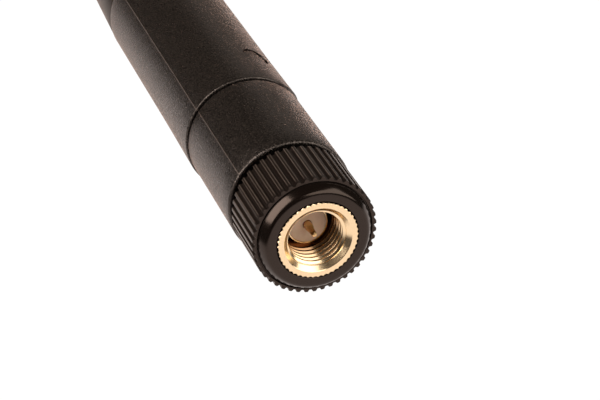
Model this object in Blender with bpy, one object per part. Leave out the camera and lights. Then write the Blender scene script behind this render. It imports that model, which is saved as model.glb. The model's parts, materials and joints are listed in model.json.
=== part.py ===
"""Tilting and swivelling stub antenna with a coaxial screw plug, modelled as its separate pieces.

Every piece is drawn along its own local Z, which is the antenna's axis, with zero at the gold front
face of the coupling nut. The empty "antenna_axis" lays that axis along world +Y, so the plug's mouth
faces -Y. Three more empties carry the pieces that move: "nut_axis", "swivel_axis" and "tilt_axis".
"""

from math import acos, asin, cos, pi, radians, sin, sqrt, tan

import bmesh
import bpy
from mathutils import Matrix, Vector

MM = 0.001

# Running and seating clearances
SLIDE_GAP = 0.08 * MM
SEAT_GAP = 0.05 * MM
FACE_GAP = 0.15 * MM

# Centre contact, insulator and plug body
PLUG_FACE_DEPTH = 3.44 * MM
PIN_RADIUS = 0.455 * MM
PIN_TIP_RADIUS = 0.22 * MM
PIN_REACH = 2.30 * MM
PIN_CONE = 0.45 * MM
SOLDER_CUP_DEPTH = 1.6 * MM
INSULATOR_RADIUS = 2.03 * MM
INSULATOR_LENGTH = 7.0 * MM
PLUG_TUBE_RADIUS = 2.30 * MM
PLUG_BODY_RADIUS = 2.75 * MM
PLUG_BODY_START = 5.0 * MM
PLUG_FLANGE_RADIUS = 3.9 * MM
PLUG_FLANGE_THICKNESS = 0.5 * MM
PLUG_NECK_RADIUS = 2.9 * MM
NECK_LAND = 0.7 * MM
CRIMP_TUBE_RADIUS = 1.15 * MM
CRIMP_TUBE_BORE = 0.58 * MM
CRIMP_TUBE_LENGTH = 3.6 * MM
RETAINER_START = 6.05 * MM
RETAINER_WIDTH = 0.5 * MM
RETAINER_INNER = 2.42 * MM
RETAINER_OUTER = 3.02 * MM
RETAINER_GAP_DEGREES = 40

# Coupling nut: threaded insert and moulded knob
INSERT_RADIUS = 4.37 * MM
INSERT_LENGTH = 7.6 * MM
SERRATIONS = 48
SERRATION_DEPTH = 0.13 * MM
SERRATION_LAND = 0.25
MOUTH_RADIUS = 3.68 * MM
THREAD_MAJOR = 6.35 * MM
THREAD_PITCH = 0.7056 * MM
THREAD_LENGTH = 3.45 * MM
RELIEF_RADIUS = 3.25 * MM
RELIEF_END = 4.9 * MM
KNOB_FACE = 0.06 * MM
KNOB_BACK = 8.2 * MM
KNOB_TOOTH_RADIUS = 6.7 * MM
TEETH = 46
TOOTH_DEPTH = 0.3 * MM
TOOTH_LAND = 0.3
TOOTH_LEAD = 0.14 * MM
CUT_CLEARANCE = 0.02 * MM
CUT_OVERSHOOT = 1.0 * MM
NOSE_FACE_RADIUS = 5.72 * MM
NOSE_RADIUS = 6.3 * MM
NOSE_LENGTH = 0.85 * MM
NOSE_CORNER = 0.25 * MM
NOSE_CORNER_DEPTH = 0.09 * MM
NOSE_GROOVE = 0.1 * MM
TOOTH_TURN = 3.76

# Lower housing
HOUSING_RADIUS = 6.85 * MM
HOUSING_WALL = 1.5 * MM
HOUSING_FRONT = 8.95 * MM
HOUSING_LIP = 0.3 * MM
HOUSING_TOP_PLATE = 1.7 * MM
SWIVEL_BUSH_LENGTH = 4.0 * MM
SWIVEL_BUSH_SETBACK = 0.35 * MM
CIRCLIP_THICKNESS = 0.4 * MM
CIRCLIP_RADIUS = 3.6 * MM
CIRCLIP_GROOVE_DEPTH = 0.4 * MM
WAVE_WASHER_RIM = 0.6 * MM
WAVE_WASHER_THICKNESS = 0.15 * MM
WAVE_HEIGHT = 0.12 * MM
WAVES = 3

# Hinge
SEAM_GAP = 0.35 * MM
PIVOT_HEIGHT = 31.4 * MM
FOLD_CLEARANCE = 0.22 * MM
FOLD_TURN = 29.0
SWING_END_TURN = -20.0
PIVOT_PIN_RADIUS = 1.55 * MM
PIVOT_PIN_RECESS = 0.12 * MM
PIVOT_PIN_SETBACK = 0.3 * MM
EAR_RADIUS = 3.2 * MM
CHEEK_THICKNESS = 2.6 * MM
FORK_CLEARANCE = 0.15 * MM

# Upper housing and whip
FORK_STEP = 0.18 * MM
FORK_TAPER = 0.13 * MM
FORK_LENGTH = 35.0 * MM
FORK_CHAMFER = 0.18 * MM
FORK_WEB = 1.4 * MM
SHEATH_STEP = 0.05 * MM
SHEATH_TIP_RADIUS = 5.0 * MM
SHEATH_WALL = 1.2 * MM
SHEATH_PLUG_LENGTH = 6.0 * MM
ANTENNA_LENGTH = 111.0 * MM

# Coaxial cable
CONDUCTOR_RADIUS = 0.15 * MM
DIELECTRIC_RADIUS = 0.42 * MM
BRAID_RADIUS = 0.64 * MM
BRAID_THICKNESS = 0.14 * MM
BRAID_TAPER = 1.4 * MM
JACKET_RADIUS = 0.9 * MM
JACKET_THICKNESS = 0.2 * MM
JACKET_STRIP = 4.0 * MM
CORE_SEAT = 4.0 * MM
LAYER_GAP = 0.04 * MM

# Radiating parts
FERRULE_WALL = 0.36 * MM
SLEEVE_RADIUS = 2.5 * MM
SLEEVE_WALL = 0.25 * MM
SLEEVE_SETBACK = 4.85 * MM
SLEEVE_LENGTH = 26.0 * MM
RADIATOR_RADIUS = 1.2 * MM
TIP_SPACE = 11.4 * MM
ARM_GAP = 1.6 * MM
SPACER_LENGTH = 3.0 * MM
SPACER_INSET = 3.0 * MM

FINE = 64
MEDIUM = 32
COARSE = 20

# Places that follow from the sizes above
HOUSING_BORE = HOUSING_RADIUS - HOUSING_WALL
FORK_RADIUS = HOUSING_RADIUS + FORK_STEP
FORK_END_RADIUS = FORK_RADIUS - FORK_TAPER
SHEATH_RADIUS = FORK_END_RADIUS - SHEATH_STEP
PIVOT_PIN_END = FORK_END_RADIUS - PIVOT_PIN_RECESS
FORK_INNER = FORK_END_RADIUS - CHEEK_THICKNESS
EAR_OUTER = FORK_INNER - FORK_CLEARANCE
CABLE_HOLE = JACKET_RADIUS + 2 * FORK_CLEARANCE
EAR_INNER = CABLE_HOLE
THREAD_MEAN_RADIUS = THREAD_MAJOR / 2 - 0.32476 * THREAD_PITCH
TEETH_START = KNOB_FACE + NOSE_LENGTH + 1.5 * NOSE_GROOVE
FLANGE_START = KNOB_BACK + FACE_GAP
BUSH_START = HOUSING_FRONT + SWIVEL_BUSH_SETBACK
BUSH_END = BUSH_START + SWIVEL_BUSH_LENGTH
WASHER_START = BUSH_END + SEAT_GAP
CIRCLIP_START = WASHER_START + WAVE_WASHER_THICKNESS + 2 * WAVE_HEIGHT + SEAT_GAP
CIRCLIP_END = CIRCLIP_START + CIRCLIP_THICKNESS
NECK_END = CIRCLIP_END + NECK_LAND
CRIMP_END = NECK_END + CRIMP_TUBE_LENGTH
INSULATOR_END = PLUG_FACE_DEPTH + INSULATOR_LENGTH
HOUSING_TOP = PIVOT_HEIGHT - FORK_RADIUS - FOLD_CLEARANCE
FORK_START = HOUSING_TOP + SEAM_GAP
FORK_FLOOR = PIVOT_HEIGHT + EAR_RADIUS + FORK_CLEARANCE
FORK_END = FORK_START + FORK_LENGTH
FORK_BORE = FORK_END_RADIUS - HOUSING_WALL
SLEEVE_START = FORK_FLOOR + FORK_WEB + SLEEVE_SETBACK
SLEEVE_END = SLEEVE_START + SLEEVE_LENGTH
RADIATOR_START = SLEEVE_END + ARM_GAP
SHEATH_BORE_END = ANTENNA_LENGTH - SHEATH_TIP_RADIUS
RADIATOR_END = SHEATH_BORE_END - TIP_SPACE


def srgb(code):
    """Linear colour of a six-digit sRGB hex code."""
    parts = [int(code[i:i + 2], 16) / 255 for i in (0, 2, 4)]
    return [c / 12.92 if c <= 0.04045 else ((c + 0.055) / 1.055) ** 2.4 for c in parts]


def finish(name, code, roughness, metallic=0.0):
    made = bpy.data.materials.new(name)
    made.use_nodes = True
    shader = made.node_tree.nodes["Principled BSDF"]
    shader.inputs["Base Color"].default_value = (*srgb(code), 1)
    shader.inputs["Roughness"].default_value = roughness
    shader.inputs["Metallic"].default_value = metallic
    return made


def empty(name, parent=None, height=0.0):
    made = bpy.data.objects.new(name, None)
    bpy.context.scene.collection.objects.link(made)
    made.parent = parent
    made.location = (0, 0, height)
    return made


def piece(name, bm, parent, material, drop=0.0):
    """An object from a bmesh. Drop lowers the mesh to suit a parent that sits up the axis."""
    if drop:
        bmesh.ops.translate(bm, verts=bm.verts, vec=(0, 0, -drop))
    bmesh.ops.recalc_face_normals(bm, faces=bm.faces)
    mesh = bpy.data.meshes.new(name)
    bm.to_mesh(mesh)
    bm.free()
    mesh.shade_smooth()
    mesh.set_sharp_from_angle(angle=radians(32))
    made = bpy.data.objects.new(name, mesh)
    bpy.context.scene.collection.objects.link(made)
    made.parent = parent
    if material:
        mesh.materials.append(material)
    else:
        made.hide_render = True
        made.display_type = "WIRE"
    return made


def turned(profile, steps):
    """Bmesh of a profile of (radius, height) points turned once about local Z.

    A profile that starts and ends on the axis makes a solid. Any other is closed into a ring.
    """
    bm = bmesh.new()
    points = [bm.verts.new((r, 0, z)) for r, z in profile]
    lines = [bm.edges.new(pair) for pair in zip(points, points[1:])]
    if profile[0][0] or profile[-1][0]:
        lines.append(bm.edges.new((points[-1], points[0])))
    bmesh.ops.spin(bm, geom=points + lines, cent=(0, 0, 0), axis=(0, 0, 1), angle=2 * pi,
                   steps=steps, use_merge=True)
    bmesh.ops.remove_doubles(bm, verts=bm.verts, dist=1e-7)
    return bm


def extruded(outline, direction, start, end):
    """Bmesh of a flat outline of (x, z) points extruded along local Y, or of (x, y) points along Z."""
    bm = bmesh.new()
    if direction == "Y":
        points = [bm.verts.new((x, start, z)) for x, z in outline]
        sweep = (0, end - start, 0)
    else:
        points = [bm.verts.new((x, y, start)) for x, y in outline]
        sweep = (0, 0, end - start)
    face = bm.faces.new(points)
    made = bmesh.ops.extrude_face_region(bm, geom=[face])["geom"]
    moved = [item for item in made if isinstance(item, bmesh.types.BMVert)]
    bmesh.ops.translate(bm, verts=moved, vec=sweep)
    return bm


def arc(radius, start, end, steps, centre=(0.0, 0.0)):
    """Points on a circle from one angle to another, in degrees, both ends included."""
    turns = [radians(start + (end - start) * i / steps) for i in range(steps + 1)]
    return [(centre[0] + radius * cos(t), centre[1] + radius * sin(t)) for t in turns]


def boolean(target, operation, other):
    step = target.modifiers.new(operation.lower(), "BOOLEAN")
    step.operation = operation
    step.object = other
    step.solver = "EXACT"


def taper(start_radius, end_radius, start, end, height):
    """Radius at a height on a straight taper."""
    return start_radius + (end_radius - start_radius) * (height - start) / (end - start)


def split_ring(inner, outer, start, end, gap_degrees, steps):
    """Flat ring with a gap, as an extruded C."""
    half = gap_degrees / 2
    outline = arc(outer, half, 360 - half, steps) + arc(inner, 360 - half, half, steps)
    return extruded(outline, "Z", start, end)


def centre_pin(parent, gold):
    """Contact with a coned tip in front and a solder cup behind."""
    tip = PLUG_FACE_DEPTH - PIN_REACH
    back = INSULATOR_END - FACE_GAP
    cup = CONDUCTOR_RADIUS + SEAT_GAP
    profile = [(0, tip), (PIN_TIP_RADIUS, tip), (PIN_RADIUS, tip + PIN_CONE), (PIN_RADIUS, back),
               (cup, back), (cup, back - SOLDER_CUP_DEPTH), (0, back - SOLDER_CUP_DEPTH)]
    piece("centre_pin", turned(profile, COARSE), parent, gold)


def plug_dielectric(parent, insulator):
    bore = PIN_RADIUS + SEAT_GAP
    profile = [(bore, PLUG_FACE_DEPTH), (INSULATOR_RADIUS, PLUG_FACE_DEPTH),
               (INSULATOR_RADIUS, INSULATOR_END), (bore, INSULATOR_END)]
    piece("plug_dielectric", turned(profile, MEDIUM), parent, insulator)


def plug_shell(parent, gold):
    """Turned body: contact tube, body with the retainer groove, flange, neck with the circlip
    groove, and the tube that the braid is crimped on."""
    groove_start = RETAINER_START - SEAT_GAP
    groove_end = RETAINER_START + RETAINER_WIDTH + SEAT_GAP
    groove = RETAINER_INNER - SEAT_GAP
    flange_end = FLANGE_START + PLUG_FLANGE_THICKNESS
    clip_groove = PLUG_NECK_RADIUS - CIRCLIP_GROOVE_DEPTH
    bore = INSULATOR_RADIUS + SEAT_GAP
    step = INSULATOR_END + SEAT_GAP
    profile = [
        (bore, PLUG_FACE_DEPTH), (PLUG_TUBE_RADIUS, PLUG_FACE_DEPTH),
        (PLUG_TUBE_RADIUS, PLUG_BODY_START), (PLUG_BODY_RADIUS, PLUG_BODY_START),
        (PLUG_BODY_RADIUS, groove_start), (groove, groove_start),
        (groove, groove_end), (PLUG_BODY_RADIUS, groove_end),
        (PLUG_BODY_RADIUS, FLANGE_START), (PLUG_FLANGE_RADIUS, FLANGE_START),
        (PLUG_FLANGE_RADIUS, flange_end), (PLUG_NECK_RADIUS, flange_end),
        (PLUG_NECK_RADIUS, CIRCLIP_START - SEAT_GAP), (clip_groove, CIRCLIP_START - SEAT_GAP),
        (clip_groove, CIRCLIP_END + SEAT_GAP), (PLUG_NECK_RADIUS, CIRCLIP_END + SEAT_GAP),
        (PLUG_NECK_RADIUS, NECK_END), (CRIMP_TUBE_RADIUS, NECK_END),
        (CRIMP_TUBE_RADIUS, CRIMP_END), (CRIMP_TUBE_BORE, CRIMP_END),
        (CRIMP_TUBE_BORE, step), (bore, step),
    ]
    piece("plug_shell", turned(profile, MEDIUM), parent, gold)


def retaining_ring(parent, bronze):
    """Split ring that holds the nut on the plug body."""
    bm = split_ring(RETAINER_INNER, RETAINER_OUTER, RETAINER_START, RETAINER_START + RETAINER_WIDTH,
                    RETAINER_GAP_DEGREES, 20)
    piece("retaining_ring", bm, parent, bronze)


def swivel_circlip(parent, steel):
    """Circlip in the neck's groove, behind the bush."""
    inner = PLUG_NECK_RADIUS - CIRCLIP_GROOVE_DEPTH + SEAT_GAP
    bm = split_ring(inner, CIRCLIP_RADIUS, CIRCLIP_START, CIRCLIP_END, 60, 20)
    piece("swivel_circlip", bm, parent, steel)


def wave_washer(parent, steel):
    """Thin ring whose height follows a sine of the angle, to load the swivel."""
    inner = PLUG_NECK_RADIUS + SLIDE_GAP
    outer = CIRCLIP_RADIUS + WAVE_WASHER_RIM
    middle = WASHER_START + WAVE_HEIGHT
    profile = [(inner, middle), (outer, middle), (outer, middle + WAVE_WASHER_THICKNESS),
               (inner, middle + WAVE_WASHER_THICKNESS)]
    bm = turned(profile, 36)
    for vert in bm.verts:
        turn = Vector((vert.co.x, vert.co.y)).angle_signed(Vector((1, 0)))
        vert.co.z += WAVE_HEIGHT * sin(WAVES * turn)
    piece("wave_washer", bm, parent, steel)


def crimp_ferrule(parent, brass):
    inner = CRIMP_TUBE_RADIUS + BRAID_THICKNESS + 2 * LAYER_GAP
    profile = [(inner, NECK_END + FACE_GAP), (inner + FERRULE_WALL, NECK_END + FACE_GAP),
               (inner + FERRULE_WALL, CRIMP_END), (inner, CRIMP_END)]
    piece("crimp_ferrule", turned(profile, COARSE), parent, brass)


def cut_teeth(target, teeth, crest, depth, start, end, land, turn, parent):
    """Cut straight teeth round a piece with a ring whose bore is toothed.

    Land is each tooth's flat share of the pitch. Turn is the first tooth's angle in degrees.
    """
    outer = crest + CUT_OVERSHOOT
    bm = bmesh.new()
    rows = []
    for tooth in range(teeth):
        for share, radius in ((-land / 2, crest + CUT_CLEARANCE), (land / 2, crest + CUT_CLEARANCE),
                              (0.5, crest - depth)):
            angle = radians(360 / teeth * (tooth + share) + turn)
            ring = [(radius, start), (radius, end), (outer, end), (outer, start)]
            rows.append([bm.verts.new((r * cos(angle), r * sin(angle), z)) for r, z in ring])
    for row, following in zip(rows, rows[1:] + rows[:1]):
        for i in range(4):
            j = (i + 1) % 4
            bm.faces.new((row[i], row[j], following[j], following[i]))
    boolean(target, "DIFFERENCE", piece(target.name + "_teeth", bm, parent, None))


def nut_insert(parent, gold):
    """Threaded insert with a serrated rim. Its bore is drawn at the thread's mean radius."""
    bore = PLUG_BODY_RADIUS + SLIDE_GAP
    groove = RETAINER_OUTER + SLIDE_GAP
    groove_start = RETAINER_START - FACE_GAP
    groove_end = RETAINER_START + RETAINER_WIDTH + FACE_GAP
    chamfer_end = MOUTH_RADIUS - THREAD_MEAN_RADIUS
    profile = [
        (MOUTH_RADIUS, 0), (INSERT_RADIUS, 0), (INSERT_RADIUS, INSERT_LENGTH),
        (bore, INSERT_LENGTH), (bore, groove_end), (groove, groove_end),
        (groove, groove_start), (bore, groove_start), (bore, RELIEF_END),
        (RELIEF_RADIUS, RELIEF_END), (RELIEF_RADIUS, THREAD_LENGTH),
        (THREAD_MEAN_RADIUS, THREAD_LENGTH), (THREAD_MEAN_RADIUS, chamfer_end),
    ]
    made = piece("nut_insert", turned(profile, SERRATIONS), parent, gold)
    cut_teeth(made, SERRATIONS, INSERT_RADIUS, SERRATION_DEPTH, -CUT_OVERSHOOT,
              INSERT_LENGTH + CUT_OVERSHOOT, SERRATION_LAND, 180 / SERRATIONS, parent)


def knob_profile():
    """Half section of the knob: flat face, round nose, thin groove, shoulder and straight side."""
    bore = INSERT_RADIUS + SEAT_GAP
    groove = KNOB_FACE + NOSE_LENGTH
    start = Vector((NOSE_FACE_RADIUS, KNOB_FACE))
    corner = Vector((NOSE_RADIUS - NOSE_CORNER, KNOB_FACE + NOSE_CORNER_DEPTH))
    end = Vector((NOSE_RADIUS, groove))
    nose = [tuple(start.lerp(corner, t).lerp(corner.lerp(end, t), t)) for t in (0, 0.3, 0.65, 1)]
    return [
        (bore, KNOB_FACE), *nose, (NOSE_RADIUS - NOSE_GROOVE, groove + NOSE_GROOVE / 2),
        (KNOB_TOOTH_RADIUS - TOOTH_DEPTH, groove + NOSE_GROOVE),
        (KNOB_TOOTH_RADIUS, TEETH_START + TOOTH_LEAD),
        (KNOB_TOOTH_RADIUS, KNOB_BACK), (bore, KNOB_BACK),
    ]


def nut_knob(parent, plastic):
    """Moulded grip with a straight knurl, open at the back."""
    made = piece("nut_knob", turned(knob_profile(), TEETH), parent, plastic)
    cut_teeth(made, TEETH, KNOB_TOOTH_RADIUS, TOOTH_DEPTH, TEETH_START,
              KNOB_BACK + CUT_OVERSHOOT,
              TOOTH_LAND, -TOOTH_TURN, parent)


def swivel_bush(parent, plastic):
    """Bush pressed into the lower housing's mouth. It turns on the plug's neck."""
    inner = PLUG_NECK_RADIUS + SLIDE_GAP
    outer = HOUSING_BORE - SEAT_GAP
    profile = [(inner, BUSH_START), (outer, BUSH_START), (outer, BUSH_END), (inner, BUSH_END)]
    piece("swivel_bush", turned(profile, MEDIUM), parent, plastic)


def base_housing(parent, tilt, plastic):
    """Lower housing with two ears on its top plate. The ears end round the pivot."""
    plate = HOUSING_TOP - HOUSING_TOP_PLATE
    profile = [
        (HOUSING_BORE, HOUSING_FRONT), (HOUSING_RADIUS - HOUSING_LIP, HOUSING_FRONT),
        (HOUSING_RADIUS, HOUSING_FRONT + HOUSING_LIP),
        (HOUSING_RADIUS, HOUSING_TOP - HOUSING_LIP / 3),
        (HOUSING_RADIUS - HOUSING_LIP / 3, HOUSING_TOP),
        (CABLE_HOLE, HOUSING_TOP), (CABLE_HOLE, plate), (HOUSING_BORE, plate),
    ]
    made = piece("base_housing", turned(profile, FINE), parent, plastic)
    foot = HOUSING_TOP - HOUSING_TOP_PLATE / 2 - PIVOT_HEIGHT
    outline = arc(EAR_RADIUS, 0, 180, 14) + [(-EAR_RADIUS, foot), (EAR_RADIUS, foot)]
    pin_hole = arc(PIVOT_PIN_RADIUS + SLIDE_GAP, 0, 345, 23)
    for side, name in ((1, "left"), (-1, "right")):
        ends = sorted((side * EAR_INNER, side * EAR_OUTER))
        ear = piece(f"ear_{name}", extruded(outline, "Y", *ends), tilt, None)
        boolean(made, "UNION", ear)
        hole = piece(f"ear_hole_{name}", extruded(pin_hole, "Y", ends[0] - CUT_OVERSHOOT,
                                                  ends[1] + CUT_OVERSHOOT), tilt, None)
        boolean(made, "DIFFERENCE", hole)


def pivot_pins(parent, plastic):
    """Two stub pins pressed through the fork's cheeks into the ears, clear of the cable."""
    outline = arc(PIVOT_PIN_RADIUS, 0, 345, 23)
    for side, name in ((1, "left"), (-1, "right")):
        ends = sorted((side * (EAR_INNER + PIVOT_PIN_SETBACK), side * PIVOT_PIN_END))
        piece(f"pivot_pin_{name}", extruded(outline, "Y", *ends), parent, plastic)


def hinge_fork(parent, plastic):
    """Upper housing: a tube whose lower end is a fork.

    The slot between the cheeks opens downwards and to the folding side. On that side the cheeks'
    ends follow a circle round the pivot, and on the other they are flat and stop the fold.
    """
    profile = [
        (CABLE_HOLE, FORK_START), (FORK_RADIUS - FORK_CHAMFER, FORK_START),
        (FORK_RADIUS, FORK_START + FORK_CHAMFER), (FORK_END_RADIUS, FORK_END - FORK_CHAMFER / 2),
        (FORK_END_RADIUS - FORK_CHAMFER / 2, FORK_END), (FORK_BORE, FORK_END),
        (FORK_BORE, FORK_FLOOR + FORK_WEB), (CABLE_HOLE, FORK_FLOOR + FORK_WEB),
    ]
    made = piece("hinge_fork", turned(profile, FINE), parent, plastic, drop=PIVOT_HEIGHT)
    below = FORK_START - PIVOT_HEIGHT - CUT_OVERSHOOT
    far = FORK_RADIUS + CUT_OVERSHOOT
    back = EAR_RADIUS + 2 * FORK_CLEARANCE
    slot = [(-back, below), (far, below), (far, FORK_FLOOR - PIVOT_HEIGHT),
            (-back, FORK_FLOOR - PIVOT_HEIGHT)]
    boolean(made, "DIFFERENCE", piece("fork_slot", extruded(slot, "Y", -FORK_INNER, FORK_INNER),
                                      parent, None))
    reach = PIVOT_HEIGHT - FORK_START
    round_end = arc(reach, -90, SWING_END_TURN, 16)
    swing = [(0, below), *round_end, (far, round_end[-1][1]), (far, below)]
    boolean(made, "DIFFERENCE", piece("fork_swing", extruded(swing, "Y", -far, far), parent, None))
    holes = arc(PIVOT_PIN_RADIUS + SEAT_GAP, 0, 345, 23)
    boolean(made, "DIFFERENCE", piece("fork_pin_hole", extruded(holes, "Y", -far, far), parent, None))


def whip_sheath(parent, rubber):
    """Closed tapered cover with a round tip, plugged into the upper housing."""
    start = FORK_END + FACE_GAP
    plug_start = FORK_END - SHEATH_PLUG_LENGTH
    plug = FORK_BORE - SEAT_GAP
    crown = [(SHEATH_TIP_RADIUS * cos(t), SHEATH_BORE_END + SHEATH_TIP_RADIUS * sin(t))
             for t in [pi / 2 * i / 7 for i in range(7)]]
    crown.append((0, ANTENNA_LENGTH))
    bore_end = SHEATH_TIP_RADIUS - SHEATH_WALL
    profile = [(0, SHEATH_BORE_END), (bore_end, SHEATH_BORE_END), (plug - SHEATH_WALL, plug_start),
               (plug, plug_start), (plug, start), (SHEATH_RADIUS, start), *crown]
    piece("whip_sheath", turned(profile, 40), parent, rubber, drop=PIVOT_HEIGHT)


def sheath_bore(height):
    """Inner radius of the sheath at a height."""
    return taper(FORK_BORE - SEAT_GAP - SHEATH_WALL, SHEATH_TIP_RADIUS - SHEATH_WALL,
                 FORK_END - SHEATH_PLUG_LENGTH, SHEATH_BORE_END, height)


def dipole_sleeve(parent, brass):
    """Brass cup over the cable. The braid is soldered to its closed end."""
    hole = BRAID_RADIUS + LAYER_GAP
    profile = [(SLEEVE_RADIUS - SLEEVE_WALL, SLEEVE_START), (SLEEVE_RADIUS, SLEEVE_START),
               (SLEEVE_RADIUS, SLEEVE_END), (hole, SLEEVE_END), (hole, SLEEVE_END - 2 * SLEEVE_WALL),
               (SLEEVE_RADIUS - SLEEVE_WALL, SLEEVE_END - 2 * SLEEVE_WALL)]
    piece("dipole_sleeve", turned(profile, COARSE), parent, brass, drop=PIVOT_HEIGHT)


def radiator_tube(parent, brass):
    """Upper arm, crimped on the bared conductor."""
    bore = CONDUCTOR_RADIUS + LAYER_GAP
    profile = [(bore, RADIATOR_START), (RADIATOR_RADIUS, RADIATOR_START),
               (RADIATOR_RADIUS, RADIATOR_END), (bore, RADIATOR_END)]
    piece("radiator_tube", turned(profile, COARSE), parent, brass, drop=PIVOT_HEIGHT)


def spacers(parent, foam):
    """Rings that centre the two arms in the housing and in the sheath."""
    rings = (
        ("sleeve_spacer_lower", SLEEVE_START + SPACER_INSET, SLEEVE_RADIUS, FORK_BORE),
        ("sleeve_spacer_upper", SLEEVE_END - SPACER_INSET - SPACER_LENGTH, SLEEVE_RADIUS, None),
        ("radiator_spacer", RADIATOR_END - SPACER_INSET - SPACER_LENGTH, RADIATOR_RADIUS, None),
    )
    for name, start, inner, outer in rings:
        end = start + SPACER_LENGTH
        low = (outer or sheath_bore(start)) - SEAT_GAP
        high = (outer or sheath_bore(end)) - SEAT_GAP
        profile = [(inner + SEAT_GAP, start), (low, start), (high, end), (inner + SEAT_GAP, end)]
        piece(name, turned(profile, MEDIUM), parent, foam, drop=PIVOT_HEIGHT)


def cable(parent, jacket, silver, insulator, copper):
    """Coaxial cable from the crimp, between the ears, to the radiating arms, layer by layer."""
    flare = CRIMP_TUBE_RADIUS + LAYER_GAP
    flare_start = NECK_END + 2 * FACE_GAP
    taper_end = CRIMP_END + BRAID_TAPER
    jacket_start = taper_end + FACE_GAP
    jacket_end = SLEEVE_END - JACKET_STRIP
    wall = JACKET_RADIUS - JACKET_THICKNESS
    layer = [(wall, jacket_start), (JACKET_RADIUS, jacket_start), (JACKET_RADIUS, jacket_end),
             (wall, jacket_end)]
    piece("coax_jacket", turned(layer, 12), parent, jacket)

    thin = BRAID_RADIUS - BRAID_THICKNESS
    layer = [(flare, flare_start), (flare + BRAID_THICKNESS, flare_start),
             (flare + BRAID_THICKNESS, CRIMP_END), (BRAID_RADIUS, taper_end),
             (BRAID_RADIUS, SLEEVE_END - LAYER_GAP), (thin, SLEEVE_END - LAYER_GAP),
             (thin, taper_end), (flare, CRIMP_END + FACE_GAP)]
    piece("coax_braid", turned(layer, COARSE), parent, silver)

    bore = CONDUCTOR_RADIUS + LAYER_GAP
    start = INSULATOR_END + 2 * SEAT_GAP
    end = RADIATOR_START - FACE_GAP
    layer = [(bore, start), (DIELECTRIC_RADIUS, start), (DIELECTRIC_RADIUS, end), (bore, end)]
    piece("coax_dielectric", turned(layer, 12), parent, insulator)

    start = INSULATOR_END - FACE_GAP - SOLDER_CUP_DEPTH + 2 * SEAT_GAP
    end = RADIATOR_START + CORE_SEAT
    core = [(0, start), (CONDUCTOR_RADIUS, start), (CONDUCTOR_RADIUS, end), (0, end)]
    piece("coax_conductor", turned(core, 12), parent, copper)


def main():
    for obj in list(bpy.data.objects):
        bpy.data.objects.remove(obj)

    gold = finish("gold_plated_brass", "E9C588", 0.2, 1.0)
    brass = finish("bare_brass", "C9A455", 0.35, 1.0)
    bronze = finish("phosphor_bronze", "B07A48", 0.35, 1.0)
    steel = finish("spring_steel", "9A9C9F", 0.3, 1.0)
    silver = finish("silvered_copper", "C9C7C2", 0.3, 1.0)
    copper = finish("copper", "C4764A", 0.3, 1.0)
    insulator = finish("ptfe", "D9D3CB", 0.5)
    grip = finish("black_grip_plastic", "2A2624", 0.35)
    eroded = finish("black_eroded_plastic", "2A2624", 0.55)
    acetal = finish("black_acetal", "201E1D", 0.4)
    rubber = finish("black_sheath_plastic", "262322", 0.5)
    fep = finish("brown_fep", "7A4A2E", 0.35)
    foam = finish("white_foam", "DAD8D2", 0.9)

    antenna_axis = empty("antenna_axis")
    antenna_axis.rotation_euler.x = -pi / 2
    nut_axis = empty("nut_axis", antenna_axis)
    swivel_axis = empty("swivel_axis", antenna_axis)
    tilt_axis = empty("tilt_axis", swivel_axis, PIVOT_HEIGHT)
    tilt_axis.rotation_euler.z = radians(FOLD_TURN)

    centre_pin(antenna_axis, gold)
    plug_dielectric(antenna_axis, insulator)
    plug_shell(antenna_axis, gold)
    retaining_ring(antenna_axis, bronze)
    swivel_circlip(antenna_axis, steel)
    wave_washer(antenna_axis, steel)
    crimp_ferrule(antenna_axis, brass)

    nut_insert(nut_axis, gold)
    nut_knob(nut_axis, grip)

    swivel_bush(swivel_axis, acetal)
    base_housing(swivel_axis, tilt_axis, eroded)
    cable(swivel_axis, fep, silver, insulator, copper)

    hinge_fork(tilt_axis, eroded)
    pivot_pins(tilt_axis, acetal)
    whip_sheath(tilt_axis, rubber)
    dipole_sleeve(tilt_axis, brass)
    radiator_tube(tilt_axis, brass)
    spacers(tilt_axis, foam)


main()
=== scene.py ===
"""Looks of a tilt and swivel stub antenna with a coaxial screw plug.

The antenna lies along +Y, with the plug's mouth facing -Y and the origin on the gold ring's face.
Angles round the antenna run from +X towards +Z. Sizes of shapes are in millimetres, and solid()
turns them into metres. Materials, lamps and the camera are in metres. Places that the solids
already have are read from the frame.
"""

import json
from math import atan2, cos, degrees, pi, radians, sin

import bpy
import numpy as np
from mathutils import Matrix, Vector


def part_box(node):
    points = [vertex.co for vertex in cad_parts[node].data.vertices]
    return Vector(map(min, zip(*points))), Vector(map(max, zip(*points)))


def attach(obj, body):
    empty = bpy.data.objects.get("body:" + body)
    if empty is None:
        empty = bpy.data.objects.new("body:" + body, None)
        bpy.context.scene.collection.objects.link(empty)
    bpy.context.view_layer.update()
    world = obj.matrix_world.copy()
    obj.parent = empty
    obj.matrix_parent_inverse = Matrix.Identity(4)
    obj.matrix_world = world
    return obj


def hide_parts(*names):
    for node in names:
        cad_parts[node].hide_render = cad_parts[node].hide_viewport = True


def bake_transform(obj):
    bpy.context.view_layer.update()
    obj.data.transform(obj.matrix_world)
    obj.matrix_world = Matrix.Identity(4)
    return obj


MM = 0.001
TURN = 2 * pi

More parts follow.
